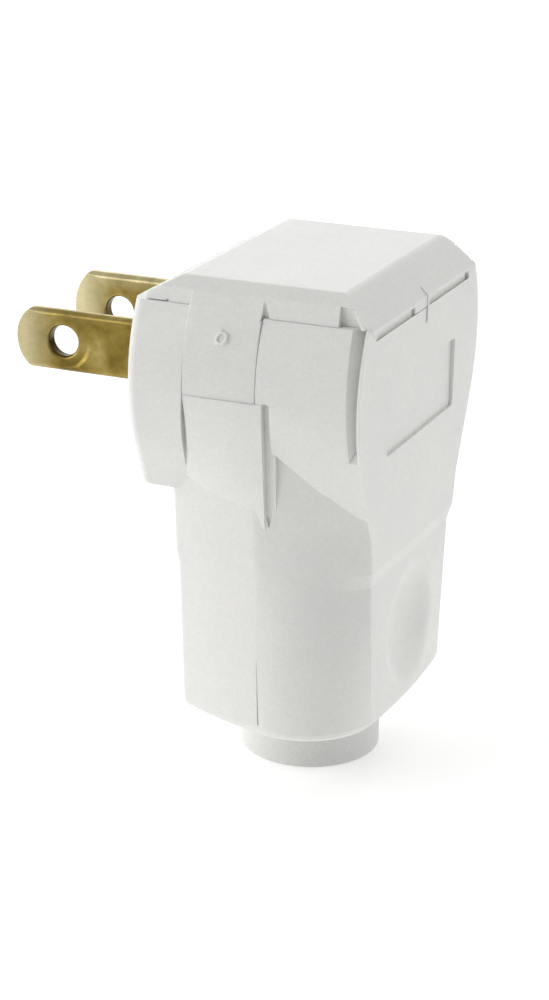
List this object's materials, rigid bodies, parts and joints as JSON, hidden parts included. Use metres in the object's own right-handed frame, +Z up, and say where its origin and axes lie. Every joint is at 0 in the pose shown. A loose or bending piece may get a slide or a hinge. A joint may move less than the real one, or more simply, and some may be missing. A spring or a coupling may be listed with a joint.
{
  "type": "angled mains plug",
  "caption": "Right-angle polarised mains plug with flat brass blades, a moulded white two-part shell with a lift-off lid and a round cord neck pointing down.",
  "frame": {"origin": "on the flat mating face, midway between the two blades and level with their axis", "axes": "-X the way the blades point, +X towards the plug's back, -Y towards the line blade, +Z up, the cord leaving along -Z"},
  "size_m": [0.0419, 0.0336, 0.0528],
  "materials": {
    "shell": "satin white moulding with a fine grain",
    "blade_brass": "rolled brass with a dull patina",
    "screw_brass": "bright brass",
    "screw_nickel": "nickel plated"
  },
  "bodies": {
    "plug_body": {"body": "shell", "line_blade": "blade_brass", "neutral_blade": "blade_brass", "line_terminal_screw": "screw_brass", "neutral_terminal_screw": "screw_nickel"},
    "lid": {"lid": "shell"}
  },
  "joints": [
    {"name": "lid_lift", "type": "slide", "parent": "plug_body", "child": "lid", "axis": [0, 0, 1], "range_m": [0, 0.014]}
  ]
}
